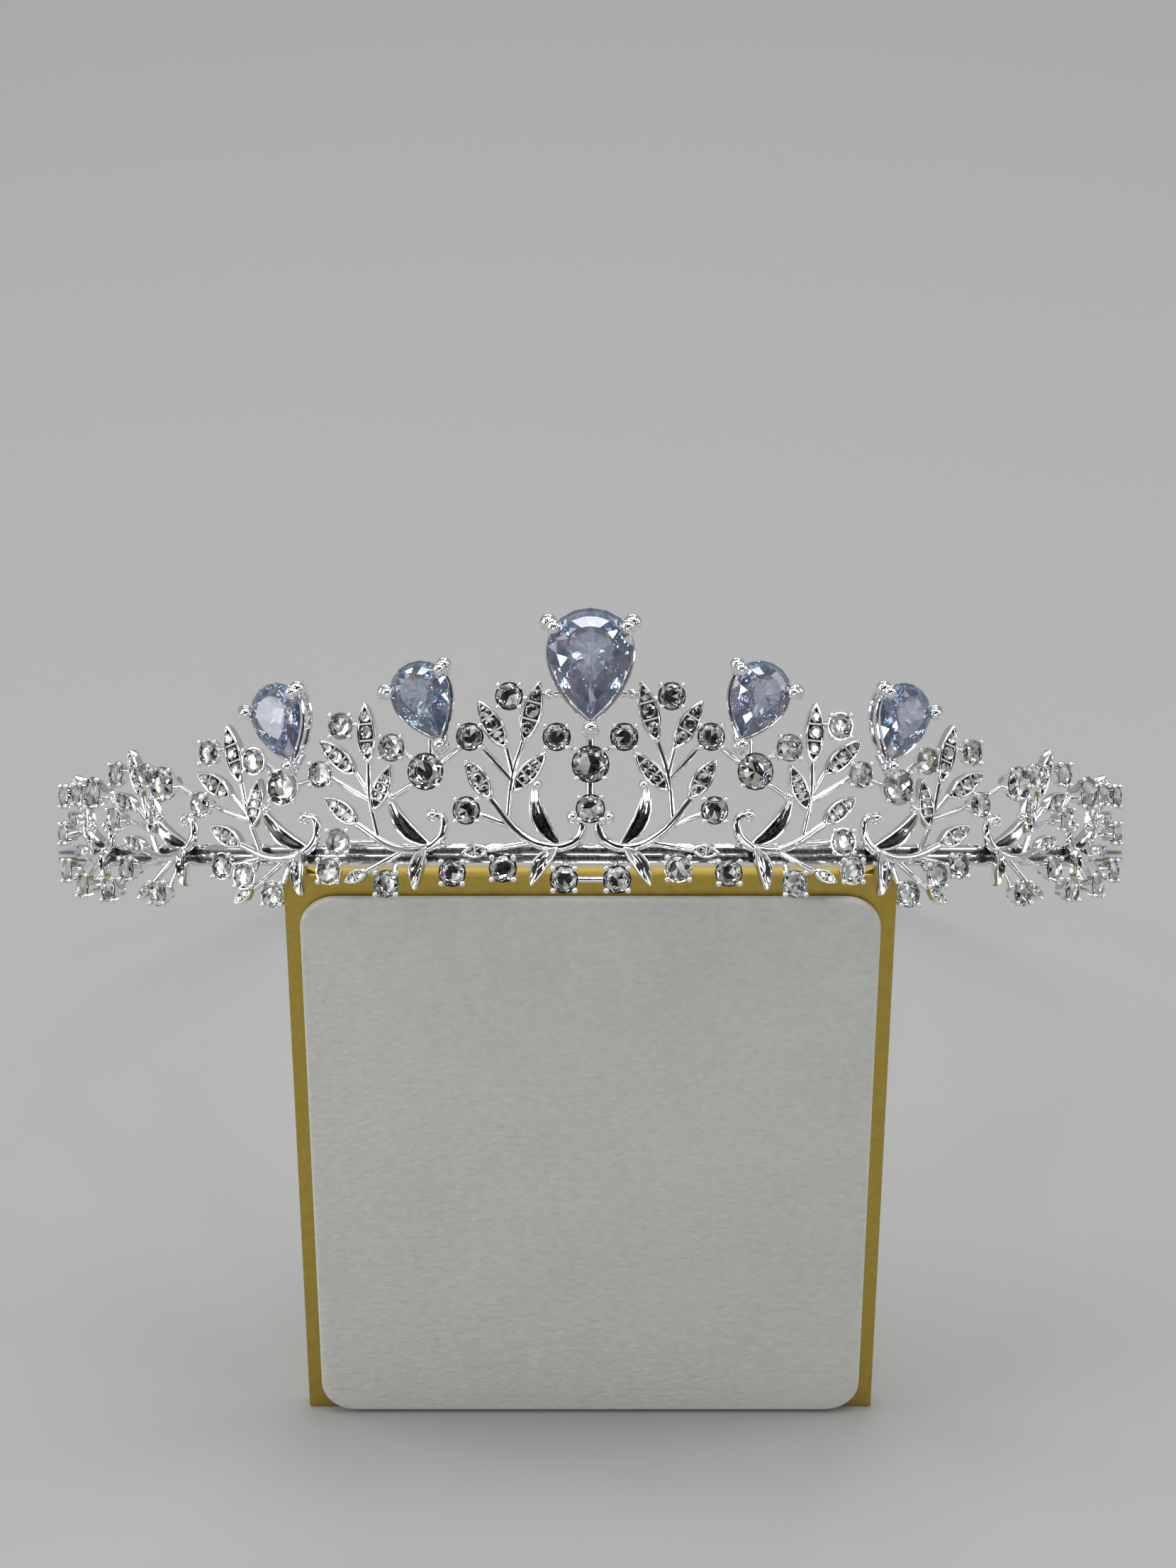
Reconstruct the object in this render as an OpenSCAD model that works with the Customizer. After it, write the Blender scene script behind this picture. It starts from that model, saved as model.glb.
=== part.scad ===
// Stone-set diadem resting on a flat display stand.
// Millimetres, +Z up, the wearer's side towards +Y and the show side towards -Y.
// The origin is the middle of the stand plate's foot.

/* [Headband] */
// Inner radius of the headband over the forehead
band_r = 71; // [64:0.5:80]
// Height of the headband strip
band_h = 2.65; // [2:0.05:4]
// Thickness of the headband strip
band_t = 1; // [0.7:0.05:1.4]
// How far the strip's upper edge stands above the scroll feet
band_rise = 0.4; // [0.2:0.05:0.7]
// Radius of the two flatter arms behind the ears
arm_r = 110; // [95:1:130]
// Angle through which each arm curves on behind the half circle
arm_turn = 54; // [48:1:60]

/* [Scrollwork] */
// Height of the full-size scroll motif above its foot
motif = 20; // [18:0.25:22]
// Angle of headband that one motif takes up
motif_angle = 15; // [14:0.25:16]
// Thickness of the scroll wire
wire_d = 1.1; // [0.9:0.05:1.3]
// Thickness of the stems and ties
stem_d = 0.75; // [0.6:0.05:0.9]
// Depth by which soldered pieces sink into each other
solder = 0.15; // [0.12:0.01:0.2]
// Thickness of the almond leaves
leaf_t = 1.15; // [0.9:0.05:1.4]
// Width of the raised rim round a stone-set leaf
leaf_rim = 0.35; // [0.25:0.05:0.45]
// Depth of the bed inside the raised rim
leaf_bed = 0.45; // [0.3:0.05:0.6]
// Diameter of the ball that ends a scroll
ball_d = 1.6; // [1.3:0.1:2]
// How far the lower leaves and stones kick out for each millimetre they hang
kick = 0.3; // [0.25:0.01:0.4]

/* [Stones] */
// Width of the large pear stone over the forehead
pear_w = 10; // [8:0.25:11]
// Length of the large pear stone
pear_l = 13; // [11:0.25:14]
// Width of the four smaller pear stones
side_pear_w = 7.2; // [6:0.1:7.8]
// Length of the four smaller pear stones
side_pear_l = 9.6; // [8.5:0.1:10.2]
// Diameter of the round stones that stand between the scrolls
round_d = 4.2; // [3.6:0.1:4.4]
// Diameter of the lower round stone in the middle
low_round_d = 3.2; // [2.8:0.1:3.4]
// Diameter of the small round stones on the sprays and the fringe
chaton_d = 3.1; // [2.7:0.05:3.2]
// Clearance between a stone and its setting
stone_gap = 0.08; // [0.06:0.01:0.12]
// Wall of the cup round a small stone
cup_wall = 0.3; // [0.25:0.05:0.4]
// Wall of the collar round a pear stone
collar_wall = 0.45; // [0.35:0.05:0.6]
// Diameter of the ball on a pear stone's prong
prong_ball_d = 1.5; // [1.3:0.1:1.8]

/* [Stand] */
// Width of the stand plate
plate_w = 73.6; // [68:0.2:80]
// Height of the stand plate
plate_h = 84; // [78:0.5:92]
// Thickness of the stand plate
plate_t = 2; // [1.5:0.1:3]
// Radius of the plate's top corners
plate_corner = 3; // [1:0.25:6]
// Bare margin at each side of the pad
pad_side = 1.8; // [1:0.1:4]
// Bare margin above the pad
pad_top = 2.75; // [1.5:0.05:5]
// Bare margin below the pad
pad_foot = 0.4; // [0.2:0.1:2]
// Thickness of the pad
pad_t = 1.2; // [0.8:0.1:1.5]
// Radius of the pad's corners
pad_corner = 4.4; // [2:0.2:8]
// Width of the strut behind the plate
strut_w = 22; // [14:1:30]
// Thickness of the strut
strut_t = 1.6; // [1.2:0.1:2.5]
// Height at which the strut meets the plate
strut_h = 56; // [45:1:62]
// How far behind the plate the strut stands
strut_reach = 34; // [26:1:38]
// Height of the strut's tab above its bend
strut_tab = 8; // [5:0.5:12]
// Gap between pieces that touch on the real object
seat_gap = 0.06; // [0.04:0.01:0.1]

/* [Hidden] */

// Radius of the surface that the middle of the scroll wire lies on
motif_r = band_r + band_t + wire_d / 2 - solder;
// Stretch of that surface that one motif takes up
pitch = motif_r * motif_angle * PI / 180;
// Lower edge of the strip, measured from the scroll feet
band_foot = band_rise - band_h;
// Back plane of the scrollwork, and the height at which thin stems lie on it
back = -wire_d / 2;
stem_lift = back + stem_d / 2;
// Bottom of a stone's pocket, just over the stems that pass under it
pocket_floor = back + stem_d + stone_gap;

// A cut stone as shares of its width
table_share = 0.56;
crown_share = 0.15;
pavilion_share = 0.4;
pear_pavilion_share = 0.34;
facets = 8;
pear_facets = 12;
// How fast a pear's outline narrows to its point
pear_taper = 0.8;
pear_peak = max([for (i = [0:pear_facets - 1]) drop(360 * i / pear_facets)]);

// Settings as shares of their stone: how far a claw stands above the girdle, how far a cup's edge dips
// below it, a collar's foot, and how high a collar's wall stands between the prongs
claw_share = 0.07;
dip_share = 0.08;
seat_share = 0.8;
collar_dip_share = 0.75;
// A collar's wall stands off this much farther at the two ends of its stone
end_share = 1.3;

// Sides of a swept wire, and a scroll ball's blunt tip as a share of its diameter
wire_sides = 4;
ball_tip_share = 0.2;
// A hanger starts just above the middle of its cup
hanger_rise = stem_d / 5;
// Motifs smaller than this have plain leaves only
smallest_bed = 0.9;
// Straight pieces that the strip is bent from: in each quarter circle, and in each arm
band_steps = 12;
arm_steps = 5;
// The corners between those pieces stand a little outside the circle, so that their middles touch it
corner_r = (band_r + band_t / 2) / cos(45 / band_steps);

// Motifs on one side, from the middle outwards:
// foot along the band (share of pitch), foot height (share of motif), lean outwards, size
ARC = 0;
FOOT = 1;
LEAN = 2;
SIZE = 3;
MOTIFS = [
    [0.21, 0.00, 0, 1.00],
    [1.03, 0.00, 19, 0.96],
    [1.87, -0.02, 32, 0.98],
    [2.86, 0.00, 38, 0.86],
    [3.79, 0.00, 43, 0.72],
];

// Points of one motif are shares of its height, x outwards and y up from its foot.
// The scroll wire, from the curled end to the leaf that it carries
SCROLL = [[-0.095, 0.175], [-0.148, 0.140], [-0.135, 0.065], [-0.070, 0.012], [0.040, 0],
          [0.210, 0.075], [0.395, 0.285]];

// Leaves: base x, base y, tip x, tip y, width, 1 for a raised rim or 0 for a plain face
BROAD = 4;
RIMMED = 5;
LEAVES = [
    [0.262, 0.322, 0.055, 0.560, 0.110, 0],
    [0.195, 0.610, 0.095, 0.980, 0.130, 1],
    [0.295, 0.575, 0.465, 0.865, 0.125, 1],
    [0.385, 0.280, 0.545, 0.520, 0.125, 1],
    [0.395, -0.015, 0.565, -0.035, 0.080, 0],
    [-0.036, 0.000, 0.125, 0.385, 0.095, 0],
    [-0.010, 0.000, 0.150, -0.230, 0.085, 0],
];

// Stems that branch off the scroll
STEMS = [
    [[0.290, 0.155], [0.262, 0.415], [0.195, 0.640]],
    [[0.258, 0.430], [0.300, 0.590]],
    [[0.264, 0.390], [0.487, 0.633]],
    [[0.250, 0.115], [0.502, 0.208]],
    [[0.130, 0.030], [0.410, -0.017]],
    [[0.250, 0.880], [0.150, 0.870]],
];

// Small stones of one motif
SPRAY = [[-0.005, 0.645], [0.270, 0.885], [0.500, 0.648], [0.520, 0.215]];
S_INNER = SPRAY[0];
S_OUTER = SPRAY[2];

// Where the plain leaf's tip meets the lowest stone-set leaf
LINK = [0.112, 0.365];
// Where the large pear's collar is tied to the tallest leaf
PEAR_LINK = [0.100, 0.900];

// The fringe of small stones under the band: along the band (share of pitch),
// height (share of motif)
FRINGE = [[0.158, -0.190], [0.527, -0.125], [0.835, -0.150], [1.245, -0.215], [1.640, -0.140],
          [2.010, -0.280], [2.250, -0.170], [2.960, -0.275], [3.500, -0.260], [3.860, -0.235]];

// Columns between the motifs: along the band (share of pitch), height of the round stone,
// height of the pear stone's middle (shares of motif) and its lean
ROUND_UP = 1;
PEAR_UP = 2;
PEAR_LEAN = 3;
COLUMNS = [
    [0.00, 0.485, 1.070, 0],
    [1.01, 0.445, 0.860, 23],
    [1.98, 0.360, 0.745, 20],
    [3.00, 0.390, 0, 0],
    [3.83, 0.345, 0, 0],
];
LOW_ROUND_UP = 0.225;

// The outline of a leaf: share of its length, share of its half width
ALMOND = [[0, 0], [0.32, 0.95], [0.7, 0.85], [1, 0]];

// The strip rests on the plate's two top corners, this far round their curve
seat_turn = 17.5;
seat_x = plate_w / 2 - plate_corner * (1 - sin(seat_turn));
seat_z = plate_h - plate_corner * (1 - cos(seat_turn));
cross_angle = asin(seat_x / band_r);
arm_end = (arm_r + band_t / 2) * sin(arm_turn);
// The ring leans back until both arm ends stand on the floor
ring_tilt = asin((seat_z + seat_gap) / (band_r * cos(cross_angle) + arm_end));
ring_z = arm_end * sin(ring_tilt) - band_foot * cos(ring_tilt);
ring_y = plate_t / 2 + band_r * cos(cross_angle) * cos(ring_tilt) - band_foot * sin(ring_tilt);

function turned(a) = [sin(a), -cos(a), 0];
function arc_angle(a) = a / motif_r * 180 / PI;
// A point on the band's surface: along it, up it, and out from it
function on_band(p) = (motif_r + p.z) * turned(arc_angle(p.x)) + [0, 0, p.y];
// A point of a motif, carried to the band
function in_motif(m, p) =
    let(q = motif * m[SIZE] * p)
    [pitch * m[ARC] + q.x * cos(m[LEAN]) + q.y * sin(m[LEAN]),
     motif * m[FOOT] - q.x * sin(m[LEAN]) + q.y * cos(m[LEAN])];
// Whatever hangs below the scroll feet kicks outwards, clear of the plate
function kicked(p, lift) = [p.x, p.y, lift + kick * max(0, -p.y)];
function unit(v) = v / norm(v);
// A wire ends in the side of a stone's cup, just short of its middle
function short_of(p, q) = p + unit(q - p) * stem_d / 2;
function column_at(k, up) = [pitch * COLUMNS[k][ARC], motif * up];
function round_at(k) = column_at(k, COLUMNS[k][ROUND_UP]);
function fringe_at(f) = [pitch * f.x, motif * f.y];
// Half the width of a drop shape, from its point at 0 degrees round to its point again
function drop(a) = sin(a) * pow(sin(a / 2), pear_taper);
function outline(w, l) =
    [for (i = [0:pear_facets - 1])
        let(a = 360 * i / pear_facets)
        [w / 2 * drop(a) / pear_peak, -l / 2 * cos(a)]];
function grown_outline(w, l, by) = outline(w + 2 * by, l + 2 * by * end_share);
function ring(pts, z) = [for (p = pts) [p.x, p.y, z]];
function scaled(pts, s) = [for (p = pts) p * s];

// A skin over rings of points that run anticlockwise seen from the last ring
module skin(rings) {
    n = len(rings[0]);
    m = len(rings);
    sides = [for (i = [0:m - 2], j = [0:n - 1])
        [i * n + j, (i + 1) * n + j, (i + 1) * n + (j + 1) % n, i * n + (j + 1) % n]];
    first = [for (j = [0:n - 1]) j];
    last = [for (j = [n - 1:-1:0]) (m - 1) * n + j];
    polyhedron([for (r = rings) each r], concat(sides, [first, last]), convexity = 6);
}

// Wire swept along points on the band's surface, each with its own thickness across the flats
module swept(path, thickness) {
    last = len(path) - 1;
    skin([for (i = [0:last])
        let(
            p = on_band(path[i]),
            along = unit(on_band(path[min(i + 1, last)]) - on_band(path[max(i - 1, 0)])),
            out = turned(arc_angle(path[i].x)),
            across = unit(cross(along, out)),
            up = cross(across, along)
        )
        [for (j = [0:wire_sides - 1])
            let(a = 360 * (j + 0.5) / wire_sides)
            p + thickness[i] / 2 / cos(180 / wire_sides) * (cos(a) * up + sin(a) * across)]]);
}

module wire(path, d) {
    swept(path, [for (p = path) d]);
}

// Scroll wire that starts in a ball
module scroll(path) {
    start = unit(path[1] - path[0]);
    swept(concat([path[0] - start * ball_d / 2, path[0], path[0] + start * ball_d / 2],
                 [for (i = [1:len(path) - 1]) path[i]]),
          concat([ball_d * ball_tip_share, ball_d], [for (p = path) wire_d]));
}

// Children drawn flat, carried to a point of the band and facing outwards
module at_band(p, lift = 0) {
    rotate([0, 0, arc_angle(p.x)])
        translate([0, -motif_r - lift - kick * max(0, -p.y), p.y])
            rotate([90, 0, 0]) children();
}

module both_sides() {
    children();
    mirror([1, 0, 0]) children();
}

function almond_points(l, w) = concat(
    [for (p = ALMOND) [p.x * l, p.y * w / 2]],
    [for (i = [len(ALMOND) - 2:-1:1]) [ALMOND[i].x * l, -ALMOND[i].y * w / 2]]);

// A leaf that lies between two points of the band
module leaf(from, to, w, rimmed) {
    run = to - from;
    at_band((from + to) / 2)
        rotate([0, 0, atan2(run.y, run.x)])
            translate([-norm(run) / 2, 0, back])
                if (rimmed)
                    rimmed_leaf(norm(run), w);
                else
                    plain_leaf(norm(run), w);
}

module rimmed_leaf(l, w) {
    end_rim = 2 * leaf_rim;
    difference() {
        linear_extrude(leaf_t) polygon(almond_points(l, w));
        translate([end_rim, 0, leaf_t - leaf_bed])
            linear_extrude(leaf_t) polygon(almond_points(l - 2 * end_rim, w - 2 * leaf_rim));
    }
}

// A plain leaf rises from its edge to a ridge along its middle
module plain_leaf(l, w) {
    ridge = [for (i = [1:2]) [l * ALMOND[i].x, 0, leaf_t]];
    hull() polyhedron(
        concat(ring(almond_points(l, w), 0), ridge),
        [[5, 4, 3, 2, 1, 0], [0, 1, 6], [1, 2, 7, 6], [2, 3, 7], [3, 4, 7], [4, 5, 6, 7], [5, 0, 6]]);
}

// A corner of a round stone and of its cup
function corner(i, r) = let(a = 360 * (i + 0.5) / facets) [r * cos(a), r * sin(a)];

// Cone-shaped cup of a round stone: its edge rises to a claw at every second corner
module cup(d) {
    depth = stone_gap + d * pavilion_share;
    reach = depth + d * claw_share;
    dip = depth - d * dip_share;
    function edge(wall) =
        [for (i = [0:facets - 1])
            let(h = i % 2 == 0 ? reach : dip)
            concat(corner(i, (d / 2 + stone_gap) * h / depth + wall), pocket_floor + h)];
    outer = facets * 2;
    pocket = outer + 1;
    polyhedron(
        concat(edge(cup_wall), edge(0), [[0, 0, back], [0, 0, pocket_floor]]),
        [for (i = [0:facets - 1])
            each let(j = (i + 1) % facets, p = i + facets, q = j + facets)
            [[i, j, outer], [i, p, q], [i, q, j], [q, p, pocket]]],
        convexity = 4);
}

// A stone's girdle lies its pavilion's depth above the pocket's floor
function girdle_z(pavilion) = pocket_floor + stone_gap + pavilion;

// A cut stone: pointed pavilion, girdle outline, crown and table
module cut_stone(girdle, pavilion, crown) {
    n = len(girdle);
    z = girdle_z(pavilion);
    table = ring(scaled(girdle, table_share), z + crown);
    hull() polyhedron(
        concat([[0, 0, z - pavilion]], ring(girdle, z), table),
        concat([for (j = [1:n]) each let(k = j % n + 1) [[0, j, k], [j, n + j, n + k, k]]],
               [[for (j = [n:-1:1]) n + j]]));
}

module round_stone(d) {
    cut_stone([for (i = [0:facets - 1]) corner(i, d / 2)], d * pavilion_share, d * crown_share);
}

module pear_stone(w, l) {
    cut_stone(outline(w, l), w * pear_pavilion_share, w * crown_share);
}

// Collar that widens from a pear stone's foot to its girdle, with two ball-tipped prongs at the head
// and one at the point
module pear_setting(w, l) {
    n = pear_facets;
    rise = girdle_z(w * pear_pavilion_share) - back;
    reach = rise + w * crown_share;
    dip = rise * collar_dip_share;
    claws = [0, n / 3, 2 * n / 3];
    function is_claw(i) = len(search(i, claws)) > 0;
    function at(from, to, h) = concat(from + (to - from) * h / rise, back + h);
    function edge(low, high) = [for (i = [0:n - 1]) at(low[i], high[i], is_claw(i) ? reach : dip)];
    seat = outline(w * seat_share, l * seat_share);
    clear = grown_outline(w, l, stone_gap);
    foot = grown_outline(w * seat_share, l * seat_share, collar_wall);
    wall = grown_outline(w, l, stone_gap + collar_wall);
    tube([ring(foot, back), edge(foot, wall), edge(seat, clear), ring(seat, back)]);
    for (i = claws) translate(concat(clear[i], back + reach)) sphere(d = prong_ball_d, $fn = 4);
}

// Rings of points joined into a closed tube, the last ring to the first
module tube(rings) {
    n = len(rings[0]);
    m = len(rings);
    polyhedron([for (r = rings) each r],
        [for (i = [0:m - 1], j = [0:n - 1])
            let(k = (i + 1) % m)
            [i * n + j, k * n + j, k * n + (j + 1) % n, i * n + (j + 1) % n]],
        convexity = 6);
}

// Headband strip, a half circle that runs on into two flatter arms
function band_point(s) =
    abs(s) <= 1 ? [turned(90 * s) * corner_r, turned(90 * s)]
    : let(
        b = (abs(s) - 1) * arm_turn,
        out = [sign(s) * cos(b), sin(b), 0]
    )
    [[sign(s) * (corner_r - arm_r), 0, 0] + arm_r * out, out];

module headband() {
    n = band_steps;
    stops = [for (i = [-n - arm_steps:n + arm_steps])
        abs(i) <= n ? i / n : sign(i) * (1 + (abs(i) - n) / arm_steps)];
    skin([for (s = stops)
        let(
            q = band_point(s),
            half = band_t / 2 * q[1],
            low = [0, 0, band_foot],
            high = [0, 0, band_rise]
        )
        [q[0] - half + low, q[0] - half + high, q[0] + half + high, q[0] + half + low]]);
}

module motif_metal(m) {
    scroll([for (p = SCROLL) kicked(in_motif(m, p), 0)]);
    for (s = STEMS) wire([for (p = s) kicked(in_motif(m, p), stem_lift)], stem_d);
    for (f = LEAVES)
        leaf(in_motif(m, [f[0], f[1]]), in_motif(m, [f[2], f[3]]), f[BROAD] * motif * m[SIZE],
             f[RIMMED] == 1 && m[SIZE] > smallest_bed);
    for (p = SPRAY) at_band(in_motif(m, p)) cup(chaton_d);
}

// A straight tie between two points of the band
module tie(from, to) {
    wire([kicked(short_of(from, to), stem_lift), kicked(short_of(to, from), stem_lift)], stem_d);
}

module column_metal(k) {
    at = round_at(k);
    at_band(at) cup(round_d);
    tie(at, in_motif(MOTIFS[k], S_INNER));
    if (k > 0) tie(at, in_motif(MOTIFS[k - 1], S_OUTER));
    if (k == 1) tie(at, in_motif(MOTIFS[k], LINK));
    if (COLUMNS[k][PEAR_UP] > 0) {
        tie(at, column_at(k, COLUMNS[k][PEAR_UP]));
        pear_at(k) pear_setting(k == 0 ? pear_w : side_pear_w, k == 0 ? pear_l : side_pear_l);
    }
}

module pear_at(k) {
    at_band(column_at(k, COLUMNS[k][PEAR_UP])) rotate([0, 0, -COLUMNS[k][PEAR_LEAN]]) children();
}

module fringe_metal() {
    for (f = FRINGE) {
        at_band(fringe_at(f)) cup(chaton_d);
        hanger = [kicked(fringe_at(f) + [0, hanger_rise], stem_lift),
                  [pitch * f.x, band_foot + stem_d / 2, back]];
        wire(hanger, stem_d);
    }
}

// The ring leans back over the plate, and its arm ends stand on the floor
module worn() {
    translate([0, ring_y, ring_z]) rotate([-ring_tilt, 0, 0]) children();
}

module tiara_frame() {
    color("silver") worn() {
        headband();
        both_sides() {
            for (m = MOTIFS) motif_metal(m);
            for (k = [1:len(COLUMNS) - 1]) column_metal(k);
            fringe_metal();
            tie(round_at(0), in_motif(MOTIFS[0], S_INNER));
            tie(column_at(0, LOW_ROUND_UP), in_motif(MOTIFS[0], SCROLL[0]));
            tie([0, motif * PEAR_LINK.y], in_motif(MOTIFS[0], PEAR_LINK));
        }
        column_metal(0);
        at_band(column_at(0, LOW_ROUND_UP)) cup(low_round_d);
        tie(round_at(0), column_at(0, LOW_ROUND_UP));
        tie([-fringe_at(FRINGE[0]).x, fringe_at(FRINGE[0]).y], fringe_at(FRINGE[0]));
    }
}

module pear(k, side) {
    color([0.62, 0.64, 0.78]) worn() mirror([side < 0 ? 1 : 0, 0, 0])
        pear_at(k) pear_stone(k == 0 ? pear_w : side_pear_w, k == 0 ? pear_l : side_pear_l);
}

module round_main(k, side) {
    color([0.85, 0.87, 0.86]) worn() mirror([side < 0 ? 1 : 0, 0, 0])
        at_band(round_at(k)) round_stone(round_d);
}

module round_low() {
    color([0.85, 0.87, 0.86]) worn() at_band(column_at(0, LOW_ROUND_UP)) round_stone(low_round_d);
}

module chatons(side) {
    color([0.8, 0.83, 0.82]) worn() mirror([side < 0 ? 1 : 0, 0, 0]) {
        for (m = MOTIFS, p = SPRAY) at_band(in_motif(m, p)) round_stone(chaton_d);
        for (f = FRINGE) at_band(fringe_at(f)) round_stone(chaton_d);
    }
}

// Upright plate with two rounded top corners, standing on its straight foot
module stand_plate() {
    color("goldenrod") translate([0, plate_t / 2, 0]) rotate([90, 0, 0]) linear_extrude(plate_t) {
        translate([-plate_w / 2, 0]) square([plate_w, plate_h - plate_corner]);
        translate([-plate_w / 2 + plate_corner, 0]) square([plate_w - 2 * plate_corner, plate_h]);
        for (s = [-1, 1])
            translate([s * (plate_w / 2 - plate_corner), plate_h - plate_corner])
                circle(plate_corner, $fn = 64);
    }
}

module stand_pad() {
    w = plate_w - 2 * pad_side;
    h = plate_h - pad_top - pad_foot;
    color("whitesmoke") translate([0, -plate_t / 2 - seat_gap, pad_foot])
        rotate([90, 0, 0]) linear_extrude(pad_t) {
            translate([-w / 2, pad_corner]) square([w, h - 2 * pad_corner]);
            translate([-w / 2 + pad_corner, 0]) square([w - 2 * pad_corner, h]);
            for (x = [-1, 1], y = [pad_corner, h - pad_corner])
                translate([x * (w / 2 - pad_corner), y]) circle(pad_corner, $fn = 64);
        }
}

// Easel strut: a short tab against the plate and a leg that slants down to the floor
module stand_strut() {
    y = plate_t / 2 + seat_gap;
    foot = strut_t * sqrt(1 + pow(strut_reach / strut_h, 2));
    function leg_at(d) = strut_h * (1 - d / strut_reach);
    color("goldenrod") rotate([90, 0, 90]) translate([0, 0, -strut_w / 2]) linear_extrude(strut_w)
        polygon([[y, strut_h + strut_tab], [y, leg_at(foot)], [y + strut_reach - foot, 0],
                 [y + strut_reach, 0], [y + strut_t, leg_at(strut_t)],
                 [y + strut_t, strut_h + strut_tab]]);
}

stand_plate();
stand_pad();
stand_strut();
tiara_frame();
pear(0, 1);  // pear_center
pear(1, -1);  // pear_inner_left
pear(1, 1);  // pear_inner_right
pear(2, -1);  // pear_outer_left
pear(2, 1);  // pear_outer_right
round_main(0, 1);  // round_upper
round_low();  // round_lower
round_main(1, -1);  // round_inner_left
round_main(1, 1);  // round_inner_right
round_main(2, -1);  // round_outer_left
round_main(2, 1);  // round_outer_right
round_main(3, -1);  // round_side_left
round_main(3, 1);  // round_side_right
round_main(4, -1);  // round_end_left
round_main(4, 1);  // round_end_right
chatons(-1);  // chatons_left
chatons(1);  // chatons_right
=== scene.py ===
# %% [markdown]
# # A stone-set diadem on its display stand
# A silver diadem with pear-cut lilac stones leans back over a small gold plate with a leather-look
# pad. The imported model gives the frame: where each piece stands and how large it is. Blender gives
# the looks: wires, leaves, cups, cut stones, and the finish of every surface.

# %% Load the frame
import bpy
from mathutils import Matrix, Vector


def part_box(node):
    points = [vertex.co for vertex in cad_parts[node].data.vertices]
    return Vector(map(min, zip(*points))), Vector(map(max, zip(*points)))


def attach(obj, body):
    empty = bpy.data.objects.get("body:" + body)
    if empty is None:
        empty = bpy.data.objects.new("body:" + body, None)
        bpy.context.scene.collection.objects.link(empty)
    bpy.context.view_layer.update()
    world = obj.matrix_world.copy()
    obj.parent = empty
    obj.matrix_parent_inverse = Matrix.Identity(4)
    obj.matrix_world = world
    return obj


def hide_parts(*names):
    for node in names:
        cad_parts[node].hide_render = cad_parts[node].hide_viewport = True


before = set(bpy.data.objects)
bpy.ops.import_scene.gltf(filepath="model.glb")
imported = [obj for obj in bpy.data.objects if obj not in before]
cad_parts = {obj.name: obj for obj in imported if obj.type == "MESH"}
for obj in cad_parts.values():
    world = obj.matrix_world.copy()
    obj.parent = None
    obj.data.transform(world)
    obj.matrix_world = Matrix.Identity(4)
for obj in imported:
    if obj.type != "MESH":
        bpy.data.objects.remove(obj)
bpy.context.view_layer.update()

# %% [markdown]
# Every ornament is modelled flat on the bench in millimetres, where its sizes are easy to read, and
# only the finished piece is carried to the diadem and brought down to metres. These are the sizes
# that several pieces share.

# %% Sizes that the pieces share
import random
import bmesh
import bpy
from math import asin, atan2, cos, degrees, hypot, pi, radians, sin
from mathutils import Matrix, Vector

MM = 0.001
BAND_R, BAND_H, BAND_T, BAND_RISE = 71, 2.65, 1, 0.4
ARM_R, ARM_TURN = 110, radians(54)
MOTIF, WIRE_D, STEM_D, SOLDER = 20, 1.1, 0.75, 0.15
LEAF_T, LEAF_RIM, LEAF_BED = 1.15, 0.42, 0.42
PEAR, SIDE_PEAR = (10, 13), (7.2, 9.6)
ROUND_D, LOW_ROUND_D, CHATON_D = 4.2, 3.2, 3.1
STONE_GAP, SEAT_GAP = 0.08, 0.06
PLATE_CORNER, SEAT_TURN = 3, radians(17.5)

MOTIF_R = BAND_R + BAND_T + WIRE_D / 2 - SOLDER
PITCH = MOTIF_R * radians(15)
BAND_FOOT = BAND_RISE - BAND_H
BACK = -WIRE_D / 2
STEM_LIFT = BACK + STEM_D / 2
POCKET = BACK + STEM_D + STONE_GAP
print("scrollwork surface", round(MOTIF_R, 2), "mm, one motif takes", round(PITCH, 2), "mm")

# %% [markdown]
# The diadem leans back: its band rests on the plate's two rounded top corners and its arms stand on
# the floor. The lean follows from the plate's size, so it is worked out instead of typed.

# %% Where the diadem rests
plate_low, plate_high = (Vector(c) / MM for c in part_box("stand_plate"))
seat_x = plate_high.x - PLATE_CORNER * (1 - sin(SEAT_TURN))
seat_z = plate_high.z - PLATE_CORNER * (1 - cos(SEAT_TURN))
cross_y = (BAND_R ** 2 - seat_x ** 2) ** 0.5
arm_end = (ARM_R + BAND_T / 2) * sin(ARM_TURN)
tilt = asin((seat_z + SEAT_GAP) / (cross_y + arm_end))
ring_z = arm_end * sin(tilt) - BAND_FOOT * cos(tilt)
ring_y = plate_high.y + cross_y * cos(tilt) - BAND_FOOT * sin(tilt)

TO_METRES = Matrix.Diagonal((MM, MM, MM, 1))
WORN = TO_METRES @ Matrix.Translation((0, ring_y, ring_z)) @ Matrix.Rotation(-tilt, 4, "X")
MIRROR = Matrix.Diagonal((-1, 1, 1, 1))
print("the diadem leans back", round(degrees(tilt), 1), "degrees")

# %% [markdown]
# Flat drawings follow the band: x runs along it, y up it and z out from it. A rigid piece, such as
# a cup, is turned to stand square on the band. A wire is long enough to show the curve, so each of
# its points is wrapped round the band on its own. What hangs below the scrolls' feet stands out
# more the lower it hangs, to stay clear of the plate.

# %% From the bench to the band
KICK = 0.3


def kick(y):
    """How far a point at height y stands out from the scrollwork's surface."""
    return KICK * max(0, -y)


def kicked(p, lift):
    return Vector((p[0], p[1], lift + kick(p[1])))


def on_band(p):
    """The place on the diadem of one flat point."""
    a = p[0] / MOTIF_R
    out = MOTIF_R + p[2]
    return Vector((out * sin(a), -out * cos(a), p[1]))


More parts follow.
